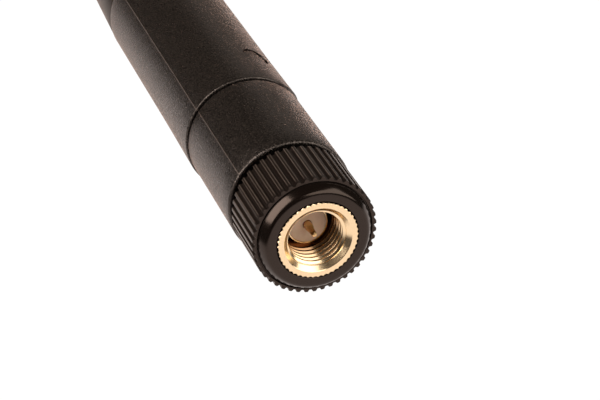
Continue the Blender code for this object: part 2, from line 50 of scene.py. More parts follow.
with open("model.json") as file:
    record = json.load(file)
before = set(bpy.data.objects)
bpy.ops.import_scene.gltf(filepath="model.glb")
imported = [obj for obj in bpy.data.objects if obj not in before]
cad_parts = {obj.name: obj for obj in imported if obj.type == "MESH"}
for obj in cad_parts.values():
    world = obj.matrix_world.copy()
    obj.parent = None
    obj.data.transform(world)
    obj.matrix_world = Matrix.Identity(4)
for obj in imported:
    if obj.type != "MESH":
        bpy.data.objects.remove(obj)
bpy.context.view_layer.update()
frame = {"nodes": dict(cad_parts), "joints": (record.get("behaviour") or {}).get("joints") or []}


def low(name, axis):
    """The least x, y or z of a CAD node, in millimetres to the hundredth."""
    return round(getattr(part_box(name)[0], axis) / MM, 2)


def high(name, axis):
    """The greatest x, y or z of a CAD node, in millimetres to the hundredth."""
    return round(getattr(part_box(name)[1], axis) / MM, 2)


# Coupling nut: gold insert with its thread, and moulded knob
THREAD_PITCH = 0.7056
THREAD_CREST = 2.91
THREAD_ROOT = 3.175
THREAD_START = 0.86
MOUTH_RADIUS = 3.68
MOUTH_LAND = 3.2
INSERT_RADIUS = 4.37
INSERT_BORE = 2.83
INSERT_END = high("nut_insert", "y")
SERRATIONS = 48
SERRATION_DEPTH = 0.13
TEETH = 46
TEETH_TURN = radians(3.76)
TOOTH_RADIUS = 6.7
VALLEY_RADIUS = 6.42
KNOB_BORE = 4.42
KNOB_FACE = low("nut_knob", "y")
KNOB_BACK = high("nut_knob", "y")

# Plug: contact, insulator and tube
PIN_RADIUS = 0.455
INSULATOR_BORE = 0.52
INSULATOR_RADIUS = high("plug_dielectric", "z")
INSULATOR_END = high("plug_dielectric", "y")
PLUG_FACE = low("plug_dielectric", "y")
NECK_RADIUS = 2.9

# Hinge: the pivot's place along the antenna, the side that it folds to and the way across it
TILT = next(joint for joint in frame["joints"] if joint["name"] == "whip_tilt")
PIVOT = round(TILT["pos_m"][1] / MM, 2)
FOLD = radians(round(degrees(atan2(TILT["axis"][0], -TILT["axis"][2])), 2))
ALONG = np.array([0.0, 1.0, 0.0])
FOLD_SIDE = np.array([cos(FOLD), 0.0, sin(FOLD)])
ACROSS = np.array([-sin(FOLD), 0.0, cos(FOLD)])
EAR_RADIUS = round(high("base_housing", "y") - PIVOT, 2)
EAR_OUTER = 4.15
PIN_END = 6.8

# Lower housing
HOUSING_RADIUS = high("base_housing", "z")
HOUSING_BORE = 5.3
HOUSING_FRONT = low("base_housing", "y")
HOUSING_TOP = 24.15
CABLE_HOLE = 1.2

# Upper housing and whip
FORK_RADIUS = high("hinge_fork", "z")
FORK_START = low("hinge_fork", "y")
FORK_END = high("hinge_fork", "y")
FORK_BORE = 5.4
FORK_WEB_TOP = 36.15
SHEATH_RADIUS = high("whip_sheath", "z")
SHEATH_START = low("whip_sheath", "y")
TIP = high("whip_sheath", "y")
TIP_RADIUS = 5.0

# The mould's parting line: its angle, and its ridge's width and distance from the axis
PARTING = radians(144.7)
PARTING_WIDTH = 0.04
PARTING_RADIUS = 6.9

# Height of the table's top, in metres
TABLE_TOP = -60 * MM


def linear(code):
    """Linear colour, with alpha, of a six-digit sRGB hex value."""
    parts = [int(code[i:i + 2], 16) / 255 for i in (0, 2, 4)]
    return [c / 12.92 if c <= 0.04045 else ((c + 0.055) / 1.055) ** 2.4 for c in parts] + [1.0]


def node(tree, kind, inputs=None, **settings):
    """A shader node with its settings. Inputs take a value or another node's output."""
    made = tree.nodes.new(kind)
    for name, value in settings.items():
        setattr(made, name, value)
    for key, value in (inputs or {}).items():
        if isinstance(value, bpy.types.NodeSocket):
            tree.links.new(value, made.inputs[key])
        else:
            made.inputs[key].default_value = value
    return made


def material(name, **settings):
    """A Principled material, as its tree and shader. Settings are socket values."""
    made = bpy.data.materials.new(name)
    made.use_nodes = True
    shader = made.node_tree.nodes["Principled BSDF"]
    for key, value in settings.items():
        shader.inputs[key.replace("_", " ")].default_value = value
    return made, made.node_tree, shader


def spark_eroded_abs():
    """Moulded ABS with a spark-eroded texture: matt black, with a fine sparkle of grains.

    The mould's parting line, where the distance to its plane is near 0, is painted paler on the
    outside: a painted highlight along its ridge.
    """
    made, tree, shader = material("spark_eroded_abs", IOR=1.53, Specular_IOR_Level=0.9,
                                  Specular_Tint=linear("FFF0E8"), Sheen_Weight=1.0,
                                  Sheen_Roughness=0.165, Sheen_Tint=linear("FFDACA"))
    place = node(tree, "ShaderNodeTexCoord").outputs["Object"]
    # Grains of 0.16 mm, with a slower unevenness of 1.2 mm
    grain = node(tree, "ShaderNodeTexNoise", {"Vector": place, "Scale": 1 / (0.16 * MM),
                                              "Detail": 1.0, "Roughness": 0.5}).outputs["Fac"]
    cloud = node(tree, "ShaderNodeTexNoise", {"Vector": place, "Scale": 1 / (1.2 * MM),
                                              "Detail": 2.0}).outputs["Fac"]
    rough = node(tree, "ShaderNodeMapRange", {"Value": grain, "From Min": 0.3, "From Max": 0.7,
                                              "To Min": 0.22, "To Max": 0.44})
    speck = node(tree, "ShaderNodeMapRange", {"Value": grain, "From Min": 0.54, "From Max": 0.66})
    drift = node(tree, "ShaderNodeMapRange", {"Value": cloud, "To Min": -0.12, "To Max": 0.12})
    spread = node(tree, "ShaderNodeMath", {0: speck.outputs["Result"], 1: drift.outputs["Result"]},
                  operation="ADD", use_clamp=True)
    tint = node(tree, "ShaderNodeMix", {"Factor": spread.outputs[0], "A": linear("040404"),
                                        "B": linear("28241F")}, data_type="RGBA")
    # The parting line is about 0.1 mm wide
    plane = node(tree, "ShaderNodeVectorMath", {0: place, 1: (sin(PARTING), 0.0, -cos(PARTING))},
                 operation="DOT_PRODUCT").outputs["Value"]
    off = node(tree, "ShaderNodeMath", {0: plane}, operation="ABSOLUTE").outputs[0]
    line = node(tree, "ShaderNodeMapRange", {"Value": off, "From Min": 0.06 * MM,
                                             "From Max": 0.03 * MM})
    flat = node(tree, "ShaderNodeMapping", {"Vector": place, "Scale": (1.0, 0.0, 1.0)})
    radius = node(tree, "ShaderNodeVectorMath", {0: flat.outputs["Vector"]},
                  operation="LENGTH").outputs["Value"]
    outside = node(tree, "ShaderNodeMath", {0: radius, 1: 6.75 * MM},
                   operation="GREATER_THAN").outputs[0]
    share = node(tree, "ShaderNodeMath", {0: line.outputs["Result"], 1: outside},
                 operation="MULTIPLY").outputs[0]
    # Painted highlight: the parting line's ridge is mixed towards a pale tint
    parting_highlight = node(tree, "ShaderNodeMix", {"Factor": share, "A": tint.outputs["Result"],
                                           "B": linear("574D47")}, data_type="RGBA")
    tree.links.new(rough.outputs["Result"], shader.inputs["Roughness"])
    tree.links.new(parting_highlight.outputs["Result"], shader.inputs["Base Color"])
    bump = node(tree, "ShaderNodeBump", {"Height": grain, "Strength": 1.0, "Distance": 0.07 * MM})
    tree.links.new(bump.outputs["Normal"], shader.inputs["Normal"])
    return made


def moulded_grip():
    """The knob's nylon: polished face and nose, and teeth that are satin and a little paler."""
    made, tree, shader = material("moulded_nylon_grip", IOR=1.53, Specular_IOR_Level=0.45,
                                  Specular_Tint=linear("FFE6D8"))
    place = node(tree, "ShaderNodeTexCoord").outputs["Object"]
    spot = node(tree, "ShaderNodeSeparateXYZ", {"Vector": place})
    along = spot.outputs["Y"]
    teeth = node(tree, "ShaderNodeMapRange", {"Value": along, "From Min": 0.98 * MM,
                                              "From Max": 1.04 * MM}).outputs["Result"]
    base = node(tree, "ShaderNodeMapRange", {"Value": teeth, "To Min": 0.17, "To Max": 0.3})
    grain = node(tree, "ShaderNodeTexNoise", {"Vector": place, "Scale": 1 / (0.1 * MM),
                                              "Detail": 2.0}).outputs["Fac"]
    uneven = node(tree, "ShaderNodeMapRange", {"Value": grain, "To Min": -0.05, "To Max": 0.05})
    rough = node(tree, "ShaderNodeMath", {0: base.outputs["Result"], 1: uneven.outputs["Result"]},
                 operation="ADD", use_clamp=True)
    tones = [node(tree, "ShaderNodeMix", {"Factor": grain, "A": linear(dark), "B": linear(light)},
                  data_type="RGBA").outputs["Result"]
             for dark, light in (("080504", "0F0A08"), ("130F0D", "201A17"))]
    tint = node(tree, "ShaderNodeMix", {"Factor": teeth, "A": tones[0], "B": tones[1]},
                data_type="RGBA")
    # Each tooth's two edges, 0.155 of a pitch from its middle, carry painted highlights: pale 0.05
    # mm lines
    turn = node(tree, "ShaderNodeMath", {0: spot.outputs["Z"], 1: spot.outputs["X"]},
                operation="ARCTAN2").outputs[0]
    count = node(tree, "ShaderNodeMath", {0: turn, 1: TEETH / TURN,
                                          2: 0.5 - TEETH_TURN * TEETH / TURN},
                 operation="MULTIPLY_ADD").outputs[0]
    share = node(tree, "ShaderNodeMath", {0: count, 1: 1.0},
                 operation="FLOORED_MODULO").outputs[0]
    half = node(tree, "ShaderNodeMath", {0: share, 1: 0.5}, operation="SUBTRACT").outputs[0]
    side = node(tree, "ShaderNodeMath", {0: half}, operation="ABSOLUTE").outputs[0]
    edge = node(tree, "ShaderNodeMath", {0: side, 1: 0.155, 2: 0.028},
                operation="COMPARE").outputs[0]
    past = node(tree, "ShaderNodeMapRange", {"Value": along, "From Min": 1.3 * MM,
                                             "From Max": 1.8 * MM}).outputs["Result"]
    # Painted highlight: the edge lines are mixed towards a pale tint
    edge_highlight = node(tree, "ShaderNodeMath", {0: edge, 1: past}, operation="MULTIPLY").outputs[0]
    with_edge_highlights = node(tree, "ShaderNodeMix", {"Factor": edge_highlight, "A": tint.outputs["Result"],
                                        "B": linear("6E625A")}, data_type="RGBA")
    tree.links.new(rough.outputs[0], shader.inputs["Roughness"])
    tree.links.new(with_edge_highlights.outputs["Result"], shader.inputs["Base Color"])
    bump = node(tree, "ShaderNodeBump", {"Height": grain, "Strength": 0.12, "Distance": 0.02 * MM})
    tree.links.new(bump.outputs["Normal"], shader.inputs["Normal"])
    return made


def plain_plastic(name, dark, light, rough, grain_mm, strength, sheen=0.0):
    """Another moulded or extruded plastic, by its two tints, roughness and grain.

    Sheen is the pale bloom that a fine texture shows at a low angle.
    """
    made, tree, shader = material(name, IOR=1.5, Specular_Tint=linear("FFE6D8"),
                                  Sheen_Weight=sheen, Sheen_Roughness=0.2,
                                  Sheen_Tint=linear("FFE0D2"))
    place = node(tree, "ShaderNodeTexCoord").outputs["Object"]
    grain = node(tree, "ShaderNodeTexNoise", {"Vector": place, "Scale": 1 / (grain_mm * MM),
                                              "Detail": 3.0}).outputs["Fac"]
    spread = node(tree, "ShaderNodeMapRange", {"Value": grain, "To Min": rough - 0.07,
                                               "To Max": rough + 0.07})
    tint = node(tree, "ShaderNodeMix", {"Factor": grain, "A": linear(dark), "B": linear(light)},
                data_type="RGBA")
    tree.links.new(spread.outputs["Result"], shader.inputs["Roughness"])
    tree.links.new(tint.outputs["Result"], shader.inputs["Base Color"])
    bump = node(tree, "ShaderNodeBump", {"Height": grain, "Strength": strength,
                                         "Distance": 0.03 * MM})
    tree.links.new(bump.outputs["Normal"], shader.inputs["Normal"])
    return made


def turned_metal(name, light, dark, rough, mark_mm, strength, uneven=0.05, depth_shade=None):
    """Metal turned on a lathe: fine tool marks ring the axis, and the tint drifts a little.

    Real marks are finer than these, which are as wide as they need to be to show. The last argument
    holds two depths, between which the metal darkens to a painted shade, and that shade's colour.
    """
    made, tree, shader = material(name, Metallic=1.0)
    place = node(tree, "ShaderNodeTexCoord").outputs["Object"]
    flat = node(tree, "ShaderNodeMapping", {"Vector": place, "Scale": (1.0, 0.0, 1.0)})
    radius = node(tree, "ShaderNodeVectorMath", {0: flat.outputs["Vector"]},
                  operation="LENGTH").outputs["Value"]
    along = node(tree, "ShaderNodeSeparateXYZ", {"Vector": place}).outputs["Y"]
    feed = node(tree, "ShaderNodeMath", {0: radius, 1: along}, operation="ADD").outputs[0]
    marks = node(tree, "ShaderNodeTexNoise", {"W": feed, "Scale": 1 / (mark_mm * MM),
                                              "Detail": 1.0}, noise_dimensions="1D").outputs["Fac"]
    drift = node(tree, "ShaderNodeTexNoise", {"Vector": place, "Scale": 1 / (0.8 * MM),
                                              "Detail": 3.0}).outputs["Fac"]
    tint = node(tree, "ShaderNodeMix", {"Factor": drift, "A": linear(dark), "B": linear(light)},
                data_type="RGBA").outputs["Result"]
    spread = node(tree, "ShaderNodeMapRange", {"Value": drift, "From Min": 0.3, "From Max": 0.7,
                                               "To Min": rough - uneven,
                                               "To Max": rough + uneven})
    if depth_shade:
        start, end, shade_colour = depth_shade
        # Painted shade: deeper along the axis the tint darkens towards the shade's colour
        deep = node(tree, "ShaderNodeMapRange", {"Value": along, "From Min": start,
                                                 "From Max": end}).outputs["Result"]
        tint = node(tree, "ShaderNodeMix", {"Factor": deep, "A": tint, "B": linear(shade_colour)},
                    data_type="RGBA").outputs["Result"]
    tree.links.new(tint, shader.inputs["Base Color"])
    tree.links.new(spread.outputs["Result"], shader.inputs["Roughness"])
    bump = node(tree, "ShaderNodeBump", {"Height": marks, "Strength": strength,
                                         "Distance": 0.01 * MM})
    tree.links.new(bump.outputs["Normal"], shader.inputs["Normal"])
    return made


def ptfe():
    """Turned PTFE: waxy and off-white, with light that goes a little way in."""
    made, tree, shader = material("turned_ptfe", IOR=1.38, Roughness=0.42, Subsurface_Weight=0.25,
                                  Subsurface_Scale=0.4 * MM)
    place = node(tree, "ShaderNodeTexCoord").outputs["Object"]
    cloud = node(tree, "ShaderNodeTexNoise", {"Vector": place, "Scale": 1 / (0.5 * MM),
                                              "Detail": 3.0}).outputs["Fac"]
    tint = node(tree, "ShaderNodeMix", {"Factor": cloud, "A": linear("C9AE97"),
                                        "B": linear("D8BFA9")}, data_type="RGBA")
    tree.links.new(tint.outputs["Result"], shader.inputs["Base Color"])
    return made


def cut_foam():
    """Closed-cell foam, cut from sheet: matt off-white with cells of 0.3 mm."""
    made, tree, shader = material("closed_cell_foam", IOR=1.4, Roughness=0.9)
    place = node(tree, "ShaderNodeTexCoord").outputs["Object"]
    cell = node(tree, "ShaderNodeTexVoronoi", {"Vector": place, "Scale": 1 / (0.3 * MM)})
    tint = node(tree, "ShaderNodeMix", {"Factor": cell.outputs["Distance"], "A": linear("C9C6BE"),
                                        "B": linear("E4E1DA")}, data_type="RGBA")
    tree.links.new(tint.outputs["Result"], shader.inputs["Base Color"])
    bump = node(tree, "ShaderNodeBump", {"Height": cell.outputs["Distance"], "Strength": 0.5,
                                         "Distance": 0.1 * MM})
    tree.links.new(bump.outputs["Normal"], shader.inputs["Normal"])
    return made


def round_angles(steps, fine_at=()):
    """Even angles round the axis, with closer ones beside each angle in fine_at."""
    even = np.arange(steps) * TURN / steps
    close = [(at + np.linspace(-0.02, 0.02, 13)) % TURN for at in fine_at]
    return np.unique(np.round(np.concatenate([even, *close]), 6))


def solid(name, points, faces, sharp=35):
    """Mesh object, in metres, of points in millimetres and quads or triangles.

    It is turned outwards if its volume is negative, where the volume is the sum of the tetrahedra
    from the origin to each face. Edges over sharp degrees are creased.
    """
    points = np.asarray(points, float) * MM
    mesh = bpy.data.meshes.new(name)
    mesh.from_pydata(points.tolist(), [], faces)
    mesh.calc_loop_triangles()
    corners = np.empty(len(mesh.loop_triangles) * 3, np.int32)
    mesh.loop_triangles.foreach_get("vertices", corners)
    a, b, c = points[corners.reshape(-1, 3)].transpose(1, 0, 2)
    if np.einsum("ij,ij->", a, np.cross(b, c)) < 0:
        mesh.flip_normals()
    mesh.shade_smooth()
    mesh.set_sharp_from_angle(angle=radians(sharp))
    made = bpy.data.objects.new(name, mesh)
    bpy.context.scene.collection.objects.link(made)
    return made


def turned(name, profile, angles, radius_of=None, place=None, sharp=35):
    """A profile of (radius, y) rows carried round the Y axis.

    The point for row i and angle a is (r cos a, y, r sin a). Radius_of changes r by row and angle,
    and place moves the finished points. A profile that starts and ends on the axis is closed by
    two poles, and any other into a ring.
    """
    profile = np.asarray(profile, float)
    capped = profile[0, 0] == 0 and profile[-1, 0] == 0
    rows = profile[1:-1] if capped else profile
    r = np.repeat(rows[:, :1], len(angles), axis=1)
    y = np.repeat(rows[:, 1:], len(angles), axis=1)
    if radius_of:
        r = radius_of(r, y, angles[None, :])
    points = np.stack([r * np.cos(angles), y, r * np.sin(angles)], axis=-1).reshape(-1, 3)
    n, m = r.shape
    i, j = np.meshgrid(np.arange(n - 1 if capped else n), np.arange(m), indexing="ij")
    up, on = (i + 1) % n, (j + 1) % m
    quads = np.stack([i * m + j, up * m + j, up * m + on, i * m + on], axis=-1).reshape(-1, 4)
    faces = quads.tolist()
    if capped:
        points = np.concatenate([points, [[0, profile[0, 1], 0], [0, profile[-1, 1], 0]]])
        ring, after = np.arange(m), (np.arange(m) + 1) % m
        last = (n - 1) * m
        faces += np.stack([ring, after, np.full(m, n * m)], axis=-1).tolist()
        faces += np.stack([last + after, last + ring, np.full(m, n * m + 1)], axis=-1).tolist()
    return solid(name, place(points) if place else points, faces, sharp)


def spaced(profile, step):
    """The profile with extra rows, so that no two are further apart than step."""
    out = []
    for (r0, y0), (r1, y1) in zip(profile, profile[1:]):
        count = max(1, int(np.ceil(np.hypot(r1 - r0, y1 - y0) / step)))
        share = np.arange(count)[:, None] / count
        out.append((1 - share) * [r0, y0] + share * [r1, y1])
    return np.concatenate([*out, [profile[-1]]])


def fillet(corner, start, end, count=5):
    """Rows of a rounded corner: a quadratic curve from start to end that is drawn to corner."""
    t = np.linspace(0, 1, count)[:, None]
    return ((1 - t) ** 2 * np.array(start) + 2 * t * (1 - t) * np.array(corner)
            + t ** 2 * np.array(end)).tolist()


def thread_radius(y, angle):
    """Radius of the internal thread: sloping flanks between flats, on a right-hand helix.

    The share of a pitch is y / pitch + angle / turn. Its distance from the groove's middle, in
    half pitches, gives the depth: full below 0.125 and none above 0.658. The depth is averaged
    over a few near shares, so that the edges are a little rounded. A 45 degree cone opens the
    mouth, with a short straight land past it, and a steeper cone trims the first turn.
    """
    share = y / THREAD_PITCH + angle / TURN + THREAD_START
    root, crest = 0.125, 0.658
    shifts = (-0.04, -0.02, 0.0, 0.02, 0.04)
    depth = 0.0
    for shift in shifts:
        off = np.abs((share + shift) % 1.0 - 0.5) * 2
        depth = depth + np.clip((crest - off) / (crest - root), 0, 1) / len(shifts)
    cut = THREAD_CREST + (THREAD_ROOT - THREAD_CREST) * depth
    mouth = np.where(y < MOUTH_RADIUS - MOUTH_LAND, MOUTH_RADIUS - y,
                     MOUTH_LAND - 2.2 * np.maximum(y - 0.62, 0))
    return np.maximum(cut, mouth)


def serrated(r, angle):
    """Outer radius of the insert, less the rounded serrations where r is over 4.2 mm.

    The depth is one minus the distance from a groove's middle, in half pitches, to the power 1.5.
    """
    wave = np.abs(((angle * SERRATIONS / TURN) % 1.0) - 0.5) * 2
    return r - SERRATION_DEPTH * (1 - wave ** 1.5) * (r > 4.2)


def nut_insert():
    """The gold insert: serrated rim, flat ring, chamfered mouth, thread, neck and groove.

    Rows with a radius of 2 mm stand for the thread, whose radius is then worked out.
    """
    thread_row = 2.0
    thread = [(thread_row, y) for y in np.linspace(0.03, 4.2, 250)]
    rows = [(3.7, 0), (4.33, 0), (INSERT_RADIUS, 0.04), (INSERT_RADIUS, 7.56), (4.33, INSERT_END),
            (INSERT_BORE, INSERT_END), (INSERT_BORE, 6.7), (3.1, 6.7), (3.1, 5.9),
            (INSERT_BORE, 5.9), (INSERT_BORE, 4.9), (3.25, 4.9), (3.25, 4.24), *thread[::-1]]

    def radius_of(r, y, angle):
        return np.where(r == thread_row, thread_radius(y, angle), serrated(r, angle))

    return turned("insert_gold", rows, round_angles(SERRATIONS * 6), radius_of, sharp=28)


def nut_knob():
    """The grip, with a rounded nose and straight teeth.

    The nose is an arc of 0.58 mm from 8 to 47 degrees, and then bends slowly on to its rim. A
    groove parts it from the teeth, which are flat-topped ridges. From a tooth's edge to the valley
    the radius falls as one minus a smooth step of the distance from the tooth's middle.
    """
    bend = np.radians(np.linspace(8, 47, 12))
    centre, radius, rim = (5.2, 0.651), 0.58, (6.025, 0.856)
    nose = np.stack([centre[0] + radius * np.sin(bend), centre[1] - radius * np.cos(bend)], axis=1)
    rows = [(KNOB_BORE, 0.1), (4.46, KNOB_FACE),
            *fillet((5.16, KNOB_FACE), (4.9, KNOB_FACE), (5.28, 0.077), 6),
            *nose[1:].tolist(),
            *fillet((5.834, 0.482), nose[-1], rim, 8)[1:],
            *fillet((6.085, 0.974), rim, (6.1, 1.05), 6)[1:],
            (6.1, 1.35), (6.22, 1.35), (6.22, 1.09), (6.25, 1.06), (6.4, 1.06), (6.68, 1.062),
            (TOOTH_RADIUS, 1.08), (TOOTH_RADIUS, 1.1)]
    rows += [(TOOTH_RADIUS, y) for y in np.linspace(1.6, 8.1, 8)]
    rows += [(TOOTH_RADIUS, 8.16), (6.66, KNOB_BACK), (KNOB_BORE, KNOB_BACK)]

    def radius_of(r, y, angle):
        off = ((angle - TEETH_TURN) * TEETH / TURN + 0.5) % 1.0 - 0.5
        fall = np.clip((np.abs(off) - 0.15) / 0.23, 0, 1)
        ridge = 1 - fall * fall * (3 - 2 * fall)
        tooth = VALLEY_RADIUS + (TOOTH_RADIUS - VALLEY_RADIUS) * ridge
        return np.where(r > 6.5, np.minimum(r, tooth), r)

    return turned("knob_black", spaced(rows, 1.0), round_angles(TEETH * 14), radius_of, sharp=40)


def parting(height):
    """Function that raises the mould's parting line, a thin rounded ridge on two sides.

    The ridge is height times e to minus the square of the distance from it over its width.
    """
    def radius_of(r, y, angle):
        off = ((angle - PARTING + pi / 2) % pi - pi / 2) * PARTING_RADIUS
        ridge = np.exp(-(off / PARTING_WIDTH) ** 2)
        return r + height * ridge * (r > 6.7)
    return radius_of


def prism(name, outline, start, end):
    """An outline carried straight across the hinge, from start to end.

    Its points are (u, v) pairs, where u runs to the fold side and v along the antenna, both from
    the pivot. The corner for a pair and a distance d across is u side + v along + d across.
    """
    flat = np.asarray(outline, float)
    base = flat[:, :1] * FOLD_SIDE + (flat[:, 1:] + PIVOT) * ALONG
    n = len(flat)
    points = np.concatenate([base + start * ACROSS, base + end * ACROSS])
    ring = np.arange(n)
    quads = np.stack([ring, (ring + 1) % n, (ring + 1) % n + n, ring + n], axis=-1).tolist()
    return solid(name, points, [ring.tolist(), (ring[::-1] + n).tolist(), *quads])


def circle(radius, start=0, end=360, steps=72):
    """Points on a circle round the pivot, from one angle to another in degrees."""
    turns = np.radians(np.linspace(start, end, steps, endpoint=end - start < 360))
    return np.stack([radius * np.cos(turns), radius * np.sin(turns)], axis=1)


def carve(target, steps):
    """Applies Booleans of each operation and tool in turn, and removes the tools."""
    for operation, tool in steps:
        change = target.modifiers.new(operation, "BOOLEAN")
        change.operation = operation
        change.object = tool
        change.solver = "EXACT"
    graph = bpy.context.evaluated_depsgraph_get()
    mesh = bpy.data.meshes.new_from_object(target.evaluated_get(graph))
    target.modifiers.clear()
    target.data = mesh
    mesh.name = target.name
    for _, tool in steps:
        bpy.data.objects.remove(tool)
    mesh.shade_smooth()
    mesh.set_sharp_from_angle(angle=radians(35))
    return target


def base_housing(angles):
    """Lower housing with its rounded rim, parting line and the hinge's two ears."""
    rows = [(HOUSING_BORE, 9.6), (6.45, 9.6), (6.5, 9.55), (6.5, 8.98), (6.54, HOUSING_FRONT),
            (6.6, HOUSING_FRONT),
            *fillet((6.79, 8.97), (6.64, 8.96), (HOUSING_RADIUS, 9.2), 6),
            (HOUSING_RADIUS, 24.0),
            *fillet((HOUSING_RADIUS, HOUSING_TOP), (HOUSING_RADIUS, 24.02), (6.72, HOUSING_TOP),
                    4)[1:],
            (CABLE_HOLE, HOUSING_TOP), (CABLE_HOLE, 22.45), (HOUSING_BORE, 22.45)]
    made = turned("housing_lower", spaced(rows, 3), angles, parting(0.05))
    foot = HOUSING_TOP - 0.85 - PIVOT
    ear = np.concatenate([circle(EAR_RADIUS, 0, 180, 33),
                          [(-EAR_RADIUS, foot), (EAR_RADIUS, foot)]])
    steps = []
    for side in (1, -1):
        steps.append(("UNION", prism("ear", ear, side * CABLE_HOLE, side * EAR_OUTER)))
        steps.append(("DIFFERENCE", prism("eye", circle(1.63), side * 0.8, side * 4.6)))
    return carve(made, steps)


def hinge_fork(angles):
    """Upper housing: a slightly conical tube with a fork at its lower end.

    The slot lets the ears in. The swing rounds the cheeks about the pivot on the fold side, so
    that they pass over the lower housing as they fold.
    """
    rows = [(CABLE_HOLE, FORK_START), (6.8, FORK_START),
            *fillet((FORK_RADIUS, FORK_START), (6.84, FORK_START), (FORK_RADIUS, 24.68), 6),
            (6.94, 34.5), (6.9, 59.35),
            *fillet((6.9, FORK_END), (6.9, 59.38), (6.76, FORK_END), 4)[1:],
            (FORK_BORE, FORK_END), (FORK_BORE, FORK_WEB_TOP), (CABLE_HOLE, FORK_WEB_TOP)]
    made = turned("housing_upper", spaced(rows, 3), angles, parting(0.045))
    clear, below = 9.0, FORK_START - PIVOT - 2
    floor, back = 3.35, -3.5
    slot = [(back, below), (clear, below), (clear, floor), (back, floor)]
    round_end = circle(PIVOT - FORK_START, -90, -20, 40)
    swing = [(0, below), *round_end, (clear, round_end[-1][1]), (clear, below)]
    return carve(made, [
        ("DIFFERENCE", prism("slot", slot, -4.3, 4.3)),
        ("DIFFERENCE", prism("swing", swing, -clear, clear)),
        ("DIFFERENCE", prism("pin_hole", circle(1.6), -clear, clear)),
    ])


def pivot_pin(name, side):
    """Stub pin turned to lie across the hinge, on one side of it.

    Its end is sunk a little in the cheek, with a rounded edge, and follows the housing's curve: at
    x to the fold side it drops by R - sqrt(R^2 - x^2).
    """
    rows = [(0, 1.5), (1.45, 1.5), (1.52, 1.57), (1.52, 6.62), (1.5, 6.7), (1.44, 6.75),
            (1.36, 6.78), (1.24, 6.805), (1.1, 6.82),
            *[(r, 6.825) for r in np.linspace(0.95, 0.15, 7)], (0, 6.825)]

    def across_hinge(points):
        x, y, z = points.T[:, :, None]
        y = np.where(y > 6, y - PIN_END + np.sqrt(PIN_END ** 2 - x ** 2), y)
        return y * side * ACROSS + x * FOLD_SIDE + (z + PIVOT) * ALONG

    return turned(name, rows, round_angles(64), place=across_hinge, sharp=28)


def whip_sheath():
    """Tapered cover with a round tip, whose plug sits in the upper housing."""
    crown_foot = TIP - TIP_RADIUS
    crown = [(TIP_RADIUS * cos(t), crown_foot + TIP_RADIUS * sin(t))
             for t in np.linspace(0, pi / 2, 18)]
    rows = [(0, crown_foot), (3.8, crown_foot), (4.15, SHEATH_START), (5.3, SHEATH_START),
            (5.35, 53.6), (5.35, 59.65),
            *fillet((SHEATH_RADIUS, 59.65), (6.7, 59.65), (SHEATH_RADIUS, 59.8), 4),
            *crown[:-1], (0, TIP)]
    return turned("sheath_black", spaced(rows, 4), round_angles(128), parting(0.02))


def contact_pin():
    """Centre contact: a slim cone that grows to the pin's full radius, with a solder cup behind."""
    rows = [(0, 1.14), (0.19, 1.14), (0.24, 1.17), (0.26, 1.23), (0.3, 1.7), (0.33, 2.1),
            (0.4, 2.5), (0.44, 2.7), (PIN_RADIUS, 2.9), (PIN_RADIUS, 10.2), (0.2, 10.2),
            (0.2, 8.69), (0, 8.69)]
    return turned("contact_pin", rows, round_angles(48))


def insulator_disc():
    """Insulator round the contact, with a broken front edge."""
    rows = [(INSULATOR_BORE, PLUG_FACE), (2.0, PLUG_FACE), (INSULATOR_RADIUS, 3.47),
            (INSULATOR_RADIUS, INSULATOR_END), (INSULATOR_BORE, INSULATOR_END)]
    return turned("insulator_disc", rows, round_angles(96))


def plug_tube():
    """The plug's turned body, from the rounded lip round the insulator to the crimp tube.

    On the way are the retaining ring's groove, the flange, the neck and the circlip's groove.
    """
    lip = [(2.05, 3.46), (2.07, 3.43), (2.17, 3.43), (2.22, 3.5), (2.3, 3.9), (2.3, 5.0)]
    body = [(2.7, 5.0), (2.75, 5.05), (2.75, 6.0), (2.37, 6.0), (2.37, 6.6), (2.75, 6.6),
            (2.75, 8.35)]
    flange = [(3.85, 8.35), (3.9, 8.4), (3.9, 8.8), (3.85, 8.85)]
    neck = [(NECK_RADIUS, 8.85), (NECK_RADIUS, 13.79), (2.5, 13.79), (2.5, 14.29),
            (NECK_RADIUS, 14.29), (NECK_RADIUS, 14.94)]
    crimp_tube = [(1.15, 14.94), (1.15, 18.54), (0.58, 18.54), (0.58, 10.49), (2.06, 10.49)]
    return turned("plug_tube", [*lip, *body, *flange, *neck, *crimp_tube], round_angles(96))


def cable_layer(name, rows):
    """One layer of the cable, in rows of at most 0.7 mm.

    A ring's profile comes back to its start, so that its bore is split into short rows too.
    """
    ring = rows[0][0] > 0
    profile = spaced([*rows, rows[0]] if ring else rows, 0.7)
    return turned(name, profile[:-1] if ring else profile, round_angles(24))


def camera():
    """The photograph's view: 29.4 degrees above the antenna's axis and 18.6 degrees to its left."""
    data = bpy.data.cameras.new("camera")
    data.lens = 123.0
    data.sensor_width = 36.0
    data.clip_start = 0.005
    made = bpy.data.objects.new("camera", data)
    bpy.context.scene.collection.objects.link(made)
    made.location = (-58.975 * MM, -169.38 * MM, 105.883 * MM)
    turn, tilt = radians(-18.601), radians(29.424)
    way = Vector((-sin(turn) * cos(tilt), cos(turn) * cos(tilt), -sin(tilt)))
    made.rotation_euler = way.to_track_quat("-Z", "Y").to_euler()
    bpy.context.scene.camera = made


def softbox(name, way, far, width, height, radiance, tint):
    """A soft lamp, far metres off in a direction, that faces the origin with its height upright.

    A flat lamp's power is pi times its area times its radiance.
    """
    place = Vector(way).normalized() * far
    data = bpy.data.lights.new(name, "AREA")
    data.shape = "RECTANGLE"
    data.size = width
    data.size_y = height
    data.energy = pi * width * height * radiance
    data.color = linear(tint)[:3]
    made = bpy.data.objects.new(name, data)
    bpy.context.scene.collection.objects.link(made)
    made.location = place
    made.rotation_euler = (-place).to_track_quat("-Z", "Y").to_euler()


